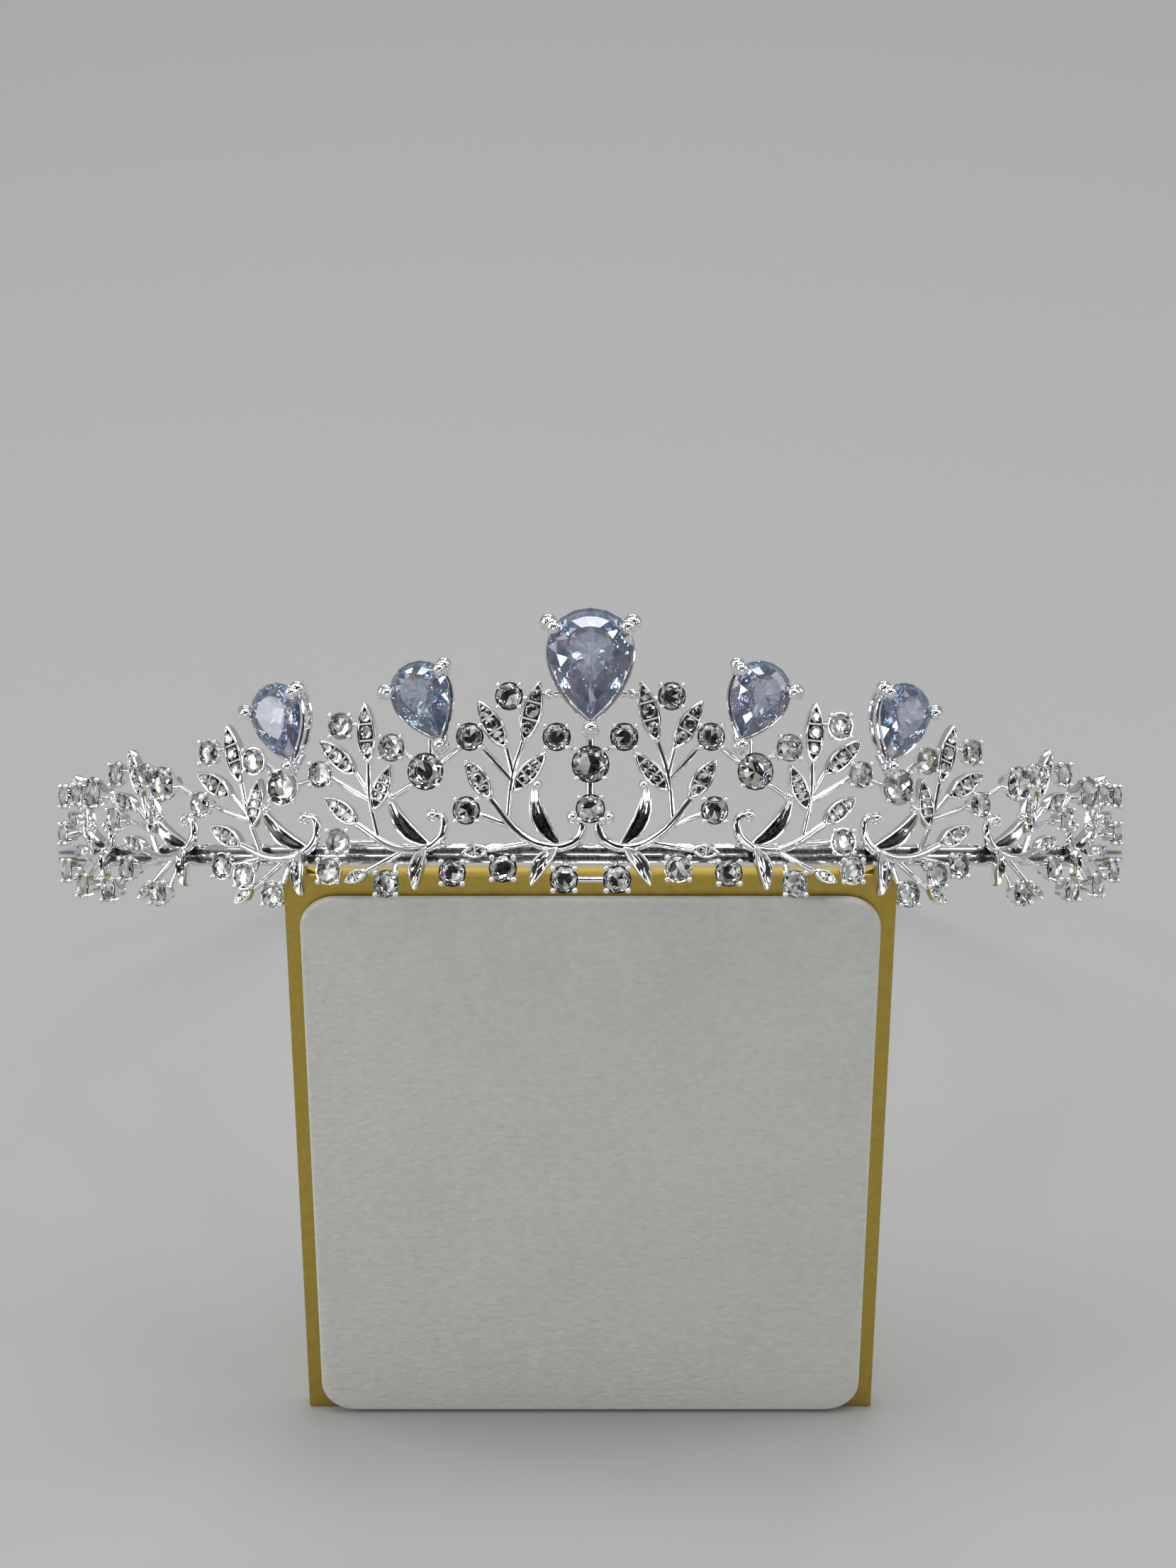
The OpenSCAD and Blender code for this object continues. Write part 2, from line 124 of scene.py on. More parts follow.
def at_band(p, turn=0):
    """The placing matrix of a rigid piece, drawn flat with its face up."""
    return (Matrix.Rotation(p[0] / MOTIF_R, 4, "Z")
            @ Matrix.Translation((0, -MOTIF_R - kick(p[1]), p[1]))
            @ Matrix.Rotation(pi / 2, 4, "X") @ Matrix.Rotation(turn, 4, "Z"))


print("a point one motif along:", [round(c, 1) for c in on_band((PITCH, 0, 0))])

# %% [markdown]
# ## The bench
# Operators act on whatever is selected, so each piece starts from an empty selection, and corners,
# edges and faces are picked by where they are. Such a test still holds when a size changes.

# %% Start a piece and pick its parts
KINDS = {"verts": "VERT", "edges": "EDGE", "faces": "FACE"}


def deselect():
    if bpy.context.object and bpy.context.object.mode != "OBJECT":
        bpy.ops.object.mode_set(mode="OBJECT")
    bpy.ops.object.select_all(action="DESELECT")


def choose(*pieces):
    """Select these pieces and nothing else, the first one active."""
    deselect()
    for piece in pieces:
        piece.select_set(True)
    bpy.context.view_layer.objects.active = pieces[0]


def start(primitive, name, **sizes):
    """Add a primitive to an empty selection and open it in edit mode."""
    deselect()
    primitive(**sizes)
    bpy.ops.object.transform_apply(location=True, rotation=True, scale=True)
    bpy.context.object.name = name
    bpy.ops.object.mode_set(mode="EDIT")
    return bpy.context.object


def start_disc(name, corners, radius, at=(0, 0, BACK)):
    return start(bpy.ops.mesh.primitive_circle_add, name, vertices=corners, radius=radius,
                 fill_type="NGON", location=at)


def pick(test, kind="verts"):
    """Select what passes a test in edit mode."""
    mesh = bpy.context.object.data
    bpy.ops.mesh.select_mode(type=KINDS[kind])
    bpy.ops.mesh.select_all(action="DESELECT")
    parts = bmesh.from_edit_mesh(mesh)
    for part in getattr(parts, kind):
        if test(part):
            part.select_set(True)
    bmesh.update_edit_mesh(mesh)


print("parts are picked as", list(KINDS))

# %% [markdown]
# Most shapes here are an outline, extruded and resized a few times. Then doubles are merged and
# faces turned outwards, because a spin or a mirror can leave seams and turn a shape inside out.

# %% Shape a piece
def extrude(x=0, y=0, z=0):
    bpy.ops.mesh.extrude_region_move(TRANSFORM_OT_translate={"value": (x, y, z)})


def resize(x, y=None, z=1, about=(0, 0, 0)):
    bpy.ops.transform.resize(value=(x, x if y is None else y, z), center_override=about)


def closed(obj):
    """Merge doubles, turn the faces outwards and leave edit mode."""
    bpy.ops.mesh.select_all(action="SELECT")
    bpy.ops.mesh.remove_doubles(threshold=0.0005)
    bpy.ops.mesh.normals_make_consistent(inside=False)
    bpy.ops.object.mode_set(mode="OBJECT")
    return obj


def modified(obj, kind, **settings):
    """Add a modifier and apply it."""
    choose(obj)
    step = obj.modifiers.new(kind.title(), kind)
    for key, value in settings.items():
        setattr(step, key, value)
    bpy.ops.object.modifier_apply(modifier=step.name)
    return obj


print("shaping helpers ready")

# %% [markdown]
# What repeats is modelled once and copied, and each copy gets its own mesh. A copy's place goes
# into its mesh, so the object itself stays at the origin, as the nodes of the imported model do.

# %% Join, copy and place pieces
def joined(pieces, name, smooth=40):
    """Join pieces into one, shaded smooth up to an angle, or flat where the angle is 0."""
    choose(*pieces)
    if len(pieces) > 1:
        bpy.ops.object.join()
    obj = bpy.context.object
    obj.name = name
    if smooth:
        bpy.ops.object.shade_smooth_by_angle(angle=radians(smooth))
    else:
        bpy.ops.object.shade_flat()
    return obj


def finished(obj, *finishes):
    for finish in finishes:
        obj.data.materials.append(finish)
    return obj


def place(obj, matrix):
    """Put a bench piece where it belongs, with its place in its mesh and its faces outwards."""
    obj.data.transform(matrix)
    if matrix.determinant() < 0:
        obj.data.flip_normals()
    obj.data.update()
    return obj


def twin(pattern, matrix):
    """A copy of a bench piece with its own mesh, put in its place."""
    copy = pattern.copy()
    copy.data = pattern.data.copy()
    bpy.context.collection.objects.link(copy)
    return place(copy, matrix)


def discard(*patterns):
    for pattern in patterns:
        bpy.data.objects.remove(pattern)


def declare(piece, slot_name, *nodes):
    """Say which body a piece rides on and which nodes it stands for; what it is made of, slot_name,
    is not used.
    """
    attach(piece, "root")
    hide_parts(*nodes)


def declare_silver(*pieces):
    for piece in pieces:
        declare(piece, "silver_metal", "tiara_frame")


print("bench ready")

# %% [markdown]
# ## Finishes
# Four metal finishes, a leather-look and three stone finishes cover the object; two of the metal
# finishes are painted shade for hollows and grooves. All patterns are computed from object
# coordinates, so they need no pictures. What several finishes share, the soft unevenness that
# polishing leaves, is a node group; the shader itself stays in each material.

# %% Helpers for nodes
def add_node(tree, kind, inputs=None, **settings):
    node = tree.nodes.new(kind)
    for key, value in settings.items():
        setattr(node, key, value)
    for key, value in (inputs or {}).items():
        if isinstance(value, bpy.types.NodeSocket):
            tree.links.new(value, node.inputs[key])
        else:
            node.inputs[key].default_value = value
    return node


def new_finish(name, **values):
    """A material with one Principled shader whose plain values are set on its own sockets."""
    material = bpy.data.materials.new(name)
    material.use_nodes = True
    shader = material.node_tree.nodes["Principled BSDF"]
    for key, value in values.items():
        shader.inputs[key.replace("_", " ")].default_value = value
    return material, material.node_tree, shader


def grey(value):
    return (value, value, value)


def ramp(tree, factor, stops, interpolation="LINEAR"):
    node = add_node(tree, "ShaderNodeValToRGB", {"Fac": factor})
    band = node.color_ramp
    band.interpolation = interpolation
    while len(band.elements) < len(stops):
        band.elements.new(0.5)
    for element, (position, colour) in zip(band.elements, stops):
        element.position = position
        element.color = (*colour, 1)
    return node


print("node helpers ready")

# %% [markdown]
# Metal that was cast and polished by hand is never quite even: broad soft waves bend its
# reflections, and fine wiping marks blur them here and there. The group gives a height for the
# waves and a mask for the marks. A stretched noise would give brushed lines; here both noises are
# round, as on small castings.

# %% Node group: polish
def make_polish():
    group = bpy.data.node_groups.new("polish", "ShaderNodeTree")
    face = group.interface
    for name in ("Waves", "Marks"):
        face.new_socket(name, in_out="INPUT", socket_type="NodeSocketFloat")
    for name in ("Height", "Mask"):
        face.new_socket(name, in_out="OUTPUT", socket_type="NodeSocketFloat")
    given = group.nodes.new("NodeGroupInput").outputs
    result = group.nodes.new("NodeGroupOutput").inputs
    where = add_node(group, "ShaderNodeTexCoord").outputs["Object"]
    broad = add_node(group, "ShaderNodeTexNoise",
                     {"Vector": where, "Scale": given["Waves"], "Detail": 2.0, "Roughness": 0.4})
    fine = add_node(group, "ShaderNodeTexNoise",
                    {"Vector": where, "Scale": given["Marks"], "Detail": 4.0, "Roughness": 0.6})
    group.links.new(broad.outputs["Fac"], result["Height"])
    group.links.new(fine.outputs["Fac"], result["Mask"])
    return group


polish = make_polish()
print("node group", polish.name)

# %% [markdown]
# Silver is a metal shader with a nearly white colour. Its roughness is low and varies with the
# wiping marks, and the waves bend its reflections very slightly. Waves and marks are counted to
# the metre, the depth of the waves is in metres.

# %% Finish: polished silver
def metal_finish(name, tones, dull, bright, waves, marks, depth):
    """A metal whose colour and roughness follow the polishing marks."""
    material, tree, shader = new_finish(name, Metallic=1.0)
    effect = add_node(tree, "ShaderNodeGroup", node_tree=polish)
    effect.inputs["Waves"].default_value, effect.inputs["Marks"].default_value = waves, marks
    mask = effect.outputs["Mask"]
    spread = add_node(tree, "ShaderNodeMapRange", {"Value": mask, "From Min": 0.3, "From Max": 0.7,
                                                   "To Min": bright, "To Max": dull})
    tree.links.new(spread.outputs["Result"], shader.inputs["Roughness"])
    bump = add_node(tree, "ShaderNodeBump", {"Height": effect.outputs["Height"],
                                             "Strength": 1.0, "Distance": depth})
    tree.links.new(bump.outputs["Normal"], shader.inputs["Normal"])
    tone = ramp(tree, mask, list(zip((0.3, 0.7), tones)))
    tree.links.new(tone.outputs["Color"], shader.inputs["Base Color"])
    return material


CASTING = {"waves": 450, "marks": 2600, "depth": 0.00003}
silver = metal_finish("polished_silver", ((0.86, 0.86, 0.87), (0.95, 0.95, 0.96)),
                      dull=0.14, bright=0.05, **CASTING)
print("finish", silver.name)

# %% [markdown]
# The hollows of the leaves and the grooves of the band get a dark silver: painted shade, standing in
# for the shade and dark reflections down there. Without it the hollows would only mirror the bright
# surroundings and look filled up.

# %% Finishes: painted shade in hollows and grooves
painted_shade_silver = metal_finish("painted_shade_silver", (grey(0.03), (0.13, 0.13, 0.12)),
                             dull=0.40, bright=0.15, **CASTING)
painted_groove_shade = metal_finish("painted_groove_shade", (grey(0.22), (0.45, 0.45, 0.44)),
                             dull=0.40, bright=0.15, **CASTING)
print("finishes", painted_shade_silver.name, painted_groove_shade.name)

# %% [markdown]
# The plate is brass-coloured and satin. Its waves and marks are both much larger than those of the
# silver, because it is rolled sheet, and its roughness never falls low enough for a sharp mirror.

# %% Finish: satin gold
satin_gold = metal_finish("satin_gold", ((0.46, 0.335, 0.065), (0.55, 0.405, 0.095)),
                          dull=0.46, bright=0.34, waves=60, marks=900, depth=0.00002)
print("finish", satin_gold.name)

# %% [markdown]
# The pad's cover is a pearl-white coated cloth, embossed with fine crinkles like kid leather, a
# little wider than high. A distorted noise gives the wrinkles and a smooth cell pattern the swollen
# islands between them; both go into one height. Cells alone would look like tiles.

# %% Finish: crinkled leather-look
CRINKLES, ISLANDS, CLOUDS = 1300.0, 1500.0, 60.0
CRINKLE_DEPTH = 0.00026


def make_leather():
    material, tree, shader = new_finish("pearl_leather", Roughness=0.5, Sheen_Weight=0.15)
    where = add_node(tree, "ShaderNodeTexCoord").outputs["Object"]
    mapping = add_node(tree, "ShaderNodeMapping", {"Vector": where, "Scale": (0.6, 1.0, 1.0)})
    wide = mapping.outputs["Vector"]
    crinkle = add_node(tree, "ShaderNodeTexNoise", {"Vector": wide, "Scale": CRINKLES, "Detail": 4.0,
                                                    "Roughness": 0.6, "Distortion": 0.8})
    cells = add_node(tree, "ShaderNodeTexVoronoi", {"Vector": wide, "Scale": ISLANDS},
                     feature="SMOOTH_F1")
    height = add_node(tree, "ShaderNodeMath",
                      {0: cells.outputs["Distance"], 1: -0.4, 2: crinkle.outputs["Fac"]},
                      operation="MULTIPLY_ADD")
    bump = add_node(tree, "ShaderNodeBump", {"Height": height.outputs[0], "Strength": 0.8,
                                             "Distance": CRINKLE_DEPTH})
    tree.links.new(bump.outputs["Normal"], shader.inputs["Normal"])
    # The colour follows the crinkles' height, lighter on the raised parts and darker in the creases:
    # painted shade, under soft random clouds of tone.
    clouds = add_node(tree, "ShaderNodeTexNoise", {"Vector": where, "Scale": CLOUDS, "Detail": 2.0})
    crease_shade_and_clouds = add_node(tree, "ShaderNodeMath",
                     {0: clouds.outputs["Fac"], 1: 0.5, 2: height.outputs[0]},
                     operation="MULTIPLY_ADD")
    tone = ramp(tree, crease_shade_and_clouds.outputs[0], [(0.25, (0.60, 0.61, 0.57)), (0.75, (0.70, 0.705, 0.66))])
    tree.links.new(tone.outputs["Color"], shader.inputs["Base Color"])
    return material


leather = make_leather()
print("finish", leather.name)

# %% [markdown]
# A round rhinestone is glass with a mirror coat on its back: its crown is clear, and its pavilion
# facets carry the coat, so it shows a ring of dark and bright wedges. The large pear stones have no
# coat: they are cut so steeply that the glass itself throws the light back, and from the side one
# looks straight through them. Every facet has its own tone, kept in the mesh as an attribute, which
# each finish turns into a colour. A few bluish and rosy facets stand for a real stone's fire. The
# last tone is the table's, a pale blue in the pears.

# %% Finishes: stones
CROWN_TONES = [(0.0, (0.90, 0.93, 0.92)), (1.0, grey(1.0))]
COAT_TONES = [(0.0, (0.38, 0.39, 0.34)), (0.15, (0.85, 0.86, 0.85)), (0.34, grey(1.0)),
              (0.62, (0.60, 0.62, 0.55)), (0.72, (0.95, 0.96, 0.97)), (0.92, (0.96, 0.82, 0.66)),
              (0.94, (0.64, 0.74, 1.0)), (0.96, grey(1.0))]
COAT_BLUR = [(0.0, 0.06), (0.34, 0.34), (0.48, 0.08), (0.62, 0.30), (0.78, 0.04)]
LILAC_TONES = [(0.0, (0.24, 0.36, 0.62)), (0.22, (0.52, 0.58, 0.76)), (0.46, (0.30, 0.52, 0.64)),
               (0.62, (0.58, 0.58, 0.76)), (0.86, (0.84, 0.74, 0.84)), (0.93, grey(1.0)),
               (0.995, (0.76, 0.80, 0.90))]


def stone_finish(name, tones, interpolation="CONSTANT", blur=None, **values):
    """A stone whose colour, and blur where given, follow each facet's own tone."""
    material, tree, shader = new_finish(name, **values)
    tone = add_node(tree, "ShaderNodeAttribute", attribute_name="facet_tone").outputs["Fac"]
    tint = ramp(tree, tone, tones, interpolation)
    tree.links.new(tint.outputs["Color"], shader.inputs["Base Color"])
    if blur:
        haze = ramp(tree, tone, [(at, grey(value)) for at, value in blur], interpolation)
        tree.links.new(haze.outputs["Color"], shader.inputs["Roughness"])
    return material


clear_crown = stone_finish("clear_crown", CROWN_TONES, "LINEAR",
                           Roughness=0.0, IOR=1.58, Transmission_Weight=1.0)
clear_coat = stone_finish("clear_coat", COAT_TONES, blur=COAT_BLUR, Metallic=1.0)
lilac_glass = stone_finish("lilac_glass", LILAC_TONES,
                           Roughness=0.0, IOR=1.95, Transmission_Weight=0.86)
print("finishes", clear_crown.name, clear_coat.name, lilac_glass.name)

# %% [markdown]
# ## Cut stones
# A stone's outline is a circle or a pear, given by its corners in turn. The pear is a circle whose
# width is pulled in towards the point, so its head stays round and its point stays sharp.

# %% Outlines of the stones
def round_outline(n, d):
    return lambda i: Vector((cos(2 * pi * (i + 0.5) / n), sin(2 * pi * (i + 0.5) / n))) * d / 2


def pear_shape(a):
    """How wide a pear is at an angle, counted from its point."""
    return sin(a) * abs(sin(a / 2)) ** 0.8


PEAR_PEAK = max(pear_shape(pi * i / 60) for i in range(60))


def pear_outline(n, w, l):
    def corner(i):
        a = 2 * pi * (i % n) / n
        return Vector((w / 2 * pear_shape(a) / PEAR_PEAK, -l / 2 * cos(a)))
    return corner


print("the pear's point lies at", pear_outline(20, *PEAR)(0)[:])

# %% [markdown]
# A brilliant is built in rings, from the table down: table, star facets, girdle, pavilion and
# culet. Each new ring is extruded from the last one, and every second one is set half a step on, so
# the sides fall into triangles as on a real cut. A plain cone of rings would look like a lampshade.

# %% Cut a stone
HALF_GIRDLE = 0.04
# each ring's share of the outline, its share of the crown's height or pavilion's depth, its step
CROWN_CUT = [(0.56, 1, 0), (0.80, 0.6, 0.5)]
SIMPLE_CUT = [(0.54, 0.45, 0.5)]
RICH_CUT = [(0.86, 0.20, 0.5), (0.66, 0.44, 0), (0.45, 0.66, 0.5), (0.22, 0.86, 0)]


def move_corners(obj, new_place):
    """Move each selected corner to where a function of its place says."""
    parts = bmesh.from_edit_mesh(obj.data)
    for v in parts.verts:
        if v.select:
            v.co = new_place(v.co)
    bmesh.update_edit_mesh(obj.data)


def cut_stone(name, n, outline, pavilion, crown, finishes, cut=SIMPLE_CUT, shift=0):
    """A faceted stone whose girdle lies at height 0 and whose culet may lie off its middle."""
    rings = [(share, crown * up, step) for share, up, step in CROWN_CUT]
    rings += [(1, HALF_GIRDLE, 0), (1, -HALF_GIRDLE, 0)]
    rings += [(share, -pavilion * down, step) for share, down, step in cut]
    corners = [[Vector((*(outline(i + step) * share + Vector((0, shift * (1 - share)))), z))
                for i in range(n)] for share, z, step in rings]
    obj = start_disc(name, n, 1)
    parts = bmesh.from_edit_mesh(obj.data)
    for v, p in zip(parts.verts, corners[0]):
        v.co = p
    bmesh.update_edit_mesh(obj.data)
    pick(lambda e: True, "edges")
    for old, new in zip(corners, corners[1:]):
        bpy.ops.mesh.extrude_edges_move()
        move_corners(obj, lambda p: new[min(range(n), key=lambda i: (old[i] - p).length)])
    bpy.ops.mesh.extrude_edges_move()
    bpy.ops.mesh.merge(type="CENTER")
    move_corners(obj, lambda p: (0, shift, -pavilion))
    pick(lambda f: len(f.verts) == 4, "faces")
    bpy.ops.mesh.quads_convert_to_tris(quad_method="SHORTEST_DIAGONAL")
    for face in finished(closed(obj), *finishes).data.polygons:
        face.material_index = int(face.center.z < -HALF_GIRDLE / 2)
    return obj


print("a rich cut has", len(RICH_CUT), "rings below its girdle")

# %% [markdown]
# Real facets never look alike, because each one mirrors another part of the room. A random tone for
# every facet gives that play. Each stone draws from its own seed, and its facets draw in the order
# of their corners, because the mesh may list them differently every time.

# %% Tone the facets, and the first stone
PAVILION, PEAR_PAVILION, CROWN = 0.4, 0.34, 0.15


def toned(obj, seed):
    """Give every facet its own tone, in the order of its corners, and the table the last one."""
    rng = random.Random(seed)
    layer = obj.data.attributes.new("facet_tone", "FLOAT", "FACE")
    for face in sorted(obj.data.polygons, key=lambda face: sorted(face.vertices)):
        layer.data[face.index].value = 1.0 if len(face.vertices) > 3 else 0.99 * rng.random()
    return obj


def round_stone(name, n, d):
    return cut_stone(name, n, round_outline(n, d), d * PAVILION, d * CROWN,
                     (clear_crown, clear_coat))


def girdle_z(pavilion):
    """The height of a seated stone's girdle, so that its culet clears the pocket's floor."""
    return POCKET + STONE_GAP + pavilion


chaton = round_stone("chaton", 8, CHATON_D)
print("a small round stone has", len(chaton.data.polygons), "facets")

# %% [markdown]
# ## Cups
# A small stone sits in a cone-shaped cup with four claws, and each claw ends in a grain of metal
# pressed over the stone's edge. A circle is extruded and widened twice, an inset leaves the wall,
# and the pocket is extruded down inside it. The claws are one claw copied round by spin. The sizes
# follow from the stone's diameter.

# %% Model a cup
CUP_WALL, BRIM_DROP, FOOT = 0.14, 0.1, 0.26
WAIST_UP, WAIST_OUT, POCKET_DOWN, POCKET_IN = 0.4, 1.2, 0.2, 0.78
CLAW_R, CLAW_H, CLAW_DOWN, CLAW_LEAN, CLAW_OUT = 0.2, 1.05, 1, 0.2, 0.28
GRAIN_R, GRAIN_UP = 0.37, 0.12


def make_cup(d):
    rise = girdle_z(d * PAVILION) - BRIM_DROP - BACK
    obj = start_disc("cup", 16, d * FOOT)
    extrude(z=rise * WAIST_UP)
    resize(WAIST_OUT)
    extrude(z=rise * (1 - WAIST_UP))
    resize((d / 2 + CUP_WALL) / (d * FOOT * WAIST_OUT))
    bpy.ops.mesh.inset(thickness=CUP_WALL)
    extrude(z=-d * POCKET_DOWN)
    resize(POCKET_IN)
    return closed(obj)


def make_claws(d):
    """Four claws, each a short leaning post that ends in a grain."""
    rise, r = girdle_z(d * PAVILION), d / 2 + CLAW_OUT
    obj = start_disc("claws", 6, CLAW_R, (r * (1 - CLAW_LEAN), 0, rise - CLAW_DOWN))
    extrude(x=r * CLAW_LEAN, z=CLAW_H)
    bpy.ops.mesh.select_all(action="DESELECT")
    bpy.ops.mesh.primitive_uv_sphere_add(segments=8, ring_count=6, radius=GRAIN_R,
                                         location=(r, 0, rise + GRAIN_UP))
    bpy.ops.mesh.select_all(action="SELECT")
    bpy.ops.transform.rotate(value=pi / 4, orient_axis="Z", center_override=(0, 0, 0))
    bpy.ops.mesh.spin(steps=4, angle=2 * pi, dupli=True, center=(0, 0, 0), axis=(0, 0, 1))
    return closed(obj)


def silver_piece(pieces, name):
    return finished(joined(pieces, name), silver)


def clawed_cup(d):
    return silver_piece([make_cup(d), make_claws(d)], "cup")


cup = clawed_cup(CHATON_D)
print("one cup has", len(cup.data.polygons), "faces")

# %% [markdown]
# ## The design of one side
# The scrollwork is one motif repeated along the band: it leans out more and gets smaller towards
# the ear. Points are shares of the motif's height, x outwards and y up from its foot, so the wires,
# leaves and stones of a motif still meet when it is turned or made smaller. The left side is the
# right side mirrored.

# %% The motif
# each motif's place in motifs along the band, the height of its foot, its lean and its size
MOTIFS = [(0.21, 0, 0, 1), (1.03, 0, 19, 0.96), (1.87, -0.02, 32, 0.98),
          (2.86, 0, 38, 0.86), (3.79, 0, 43, 0.72)]
SCROLL = [(-0.095, 0.175), (-0.148, 0.140), (-0.135, 0.065), (-0.070, 0.012), (0.040, 0),
          (0.210, 0.075), (0.395, 0.285)]
STEMS = [[(0.290, 0.155), (0.262, 0.415), (0.195, 0.640)], [(0.258, 0.430), (0.300, 0.590)],
         [(0.264, 0.390), (0.487, 0.633)], [(0.250, 0.115), (0.502, 0.208)],
         [(0.130, 0.030), (0.410, -0.017)], [(0.250, 0.880), (0.150, 0.870)]]
# each leaf's base, its tip and its width
SET_LEAVES = [((0.262, 0.322), (0.055, 0.560), 0.120), ((0.195, 0.610), (0.095, 0.980), 0.130),
              ((0.295, 0.575), (0.465, 0.865), 0.130), ((0.385, 0.280), (0.545, 0.520), 0.125),
              ((0.395, -0.015), (0.565, -0.035), 0.085)]
PLAIN_LEAVES = [((-0.036, 0), (0.125, 0.385), 0.105), ((-0.010, 0), (0.150, -0.230), 0.095)]
SPRAY = [(-0.005, 0.645), (0.270, 0.885), (0.500, 0.648), (0.520, 0.215)]
LINK, PEAR_LINK = (0.112, 0.365), (0.100, 0.900)
print(len(MOTIFS), "motifs with", len(SPRAY), "small stones each")

# %% [markdown]
# Between the motifs stand columns of a round stone, three of them with a pear above it, and under
# the band hangs a fringe of small stones. Both keep a spacing of their own, given in motifs along
# the band and in motif heights up.

# %% Columns, fringe, and places on the band
# each column's place, the heights of its round stone and of its pear, and the pear's turn
COLUMNS = [(0, 0.485, 1.070, 0), (1.01, 0.445, 0.860, 23), (1.98, 0.360, 0.745, 20),
           (3.00, 0.390, None, 0), (3.83, 0.345, None, 0)]
LOW_ROUND_UP = 0.225
FRINGE = [(0.158, -0.190), (0.527, -0.125), (0.835, -0.150), (1.245, -0.215), (1.640, -0.140),
          (2.010, -0.280), (2.250, -0.170), (2.960, -0.275), (3.500, -0.260), (3.860, -0.235)]


def in_motif(m, p):
    """Where a point of the design lies on the flat band, in millimetres."""
    arc, foot, lean, size = MOTIFS[m]
    x, y = (MOTIF * size * share for share in p)
    c, s = cos(radians(lean)), sin(radians(lean))
    return Vector((PITCH * arc + x * c + y * s, MOTIF * foot - x * s + y * c))


def column_at(k, up):
    return Vector((PITCH * COLUMNS[k][0], MOTIF * up))


fringe = [Vector((PITCH * arc, MOTIF * up)) for arc, up in FRINGE]
small_places = [at_band(in_motif(m, p)) for m in range(len(MOTIFS)) for p in SPRAY]
small_places += [at_band(p) for p in fringe]
print(len(small_places), "small stones on each side")

# %% [markdown]
# One cup and one stone are copied thirty times a side. The copies of a side are joined, because a
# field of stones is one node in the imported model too. Each stone is turned a little on from the
# last one, because no setter lines up the facets.

# %% Set the small stones
FLIPS = {"right": Matrix.Identity(4), "left": MIRROR}
STONE_TURN = 0.4


def both_sides(pattern, places, name, seed=None):
    """Copies of a bench piece on the right side, and mirrored on the left; stones get a seed."""
    sides = []
    for side, flip in FLIPS.items():
        copies = [twin(pattern, WORN @ flip @ where) for where in places]
        if seed is not None:
            copies = [toned(copy, f"{seed} {side} {k}") for k, copy in enumerate(copies)]
        sides.append(joined(copies, f"{name}_{side}", smooth=40 if seed is None else 0))
    return sides


def lifted(where, z, turn=0):
    return where @ Matrix.Translation((0, 0, z)) @ Matrix.Rotation(turn, 4, "Z")


declare_silver(*both_sides(cup, small_places, "small_cups"))
stone_places = [lifted(where, girdle_z(CHATON_D * PAVILION), STONE_TURN * k)
                for k, where in enumerate(small_places)]
for stones, node in zip(both_sides(chaton, stone_places, "chaton_stones", seed="chaton"),
                        ("chatons_right", "chatons_left")):
    declare(stones, "clear_stone", node)
discard(cup, chaton)
print("small stones set")

# %% [markdown]
# ## The larger round stones
# Ten larger stones stand in the columns between the motifs, in cups of the same make. Each has ten
# sides instead of eight, because more of its facets can be told apart. The lowest one in the
# middle is smaller than the other nine, so there are two patterns.

# %% Set the larger round stones
def set_stone(holder, stone, rise, where, side, holder_name, node, slot_name, seed):
    """Copy a holder and its stone, whose girdle lies at a height, to a place in a column."""
    onto = WORN @ FLIPS[side]
    metal = joined([twin(holder, onto @ where)], holder_name)
    gem = toned(twin(stone, onto @ lifted(where, rise)), seed)
    declare_silver(metal)
    declare(joined([gem], f"gem_{node}", smooth=0), slot_name, node)


round_spots = [("upper", 0, "right")]
round_spots += [(f"{word}_{side}", k, side)
                for k, word in enumerate(("inner", "outer", "side", "end"), 1)
                for side in ("left", "right")]
for d, spots in ((ROUND_D, round_spots), (LOW_ROUND_D, [("lower", 0, "right")])):
    bench_cup, bench_stone = clawed_cup(d), round_stone("stone", 10, d)
    for word, k, side in spots:
        where = at_band(column_at(k, LOW_ROUND_UP if word == "lower" else COLUMNS[k][1]))
        node = f"round_{word}"
        set_stone(bench_cup, bench_stone, girdle_z(d * PAVILION), where, side,
                  f"cup_{node}", node, "clear_stone", node)
    discard(bench_cup, bench_stone)
print(len(round_spots) + 1, "larger round stones set")

# %% [markdown]
# ## Wires
# The scrolls, stems and ties are round wires. A curve through a few points with automatic handles
# bends as smoothly as a wire under the pliers, and a bevel gives it its thickness. It becomes a
# mesh, and only then is it wrapped round the band. Extruding a circle along the path would need
# many more steps and would pinch in the tight curl. The small rings behind the pear stones are
# closed curves with coarser steps.

# %% Draw a wire
def draw_wire(points, thick, radii=None, ring=False):
    """A wire through points given along, up and out, or a closed ring through them."""
    deselect()
    if ring:
        bpy.ops.curve.primitive_bezier_circle_add()
    else:
        bpy.ops.curve.primitive_bezier_curve_add()
    curve = bpy.context.object.data
    curve.dimensions = "3D"
    knots = curve.splines[0].bezier_points
    knots.add(len(points) - len(knots))
    for k, (knot, p) in enumerate(zip(knots, points)):
        knot.co = p
        knot.handle_left_type = knot.handle_right_type = "AUTO"
        knot.radius = radii[k] if radii else 1
    curve.bevel_depth = thick / 2
    curve.resolution_u, curve.bevel_resolution = (2, 2) if ring else (6, 3)
    curve.use_fill_caps = not ring
    bpy.ops.object.convert(target="MESH")
    return bpy.context.object


def bead(p, d):
    """A small ball, set at a point of the band."""
    obj = start(bpy.ops.mesh.primitive_uv_sphere_add, "bead", segments=12, ring_count=8,
                radius=d / 2, location=p)
    return closed(obj)


def stem(*points, thick=STEM_D):
    return draw_wire([kicked(p, STEM_LIFT) for p in points], thick)


def wrap(obj):
    """Bend a flat piece round the band, point by point."""
    for v in obj.data.vertices:
        v.co = on_band(v.co)
    return obj


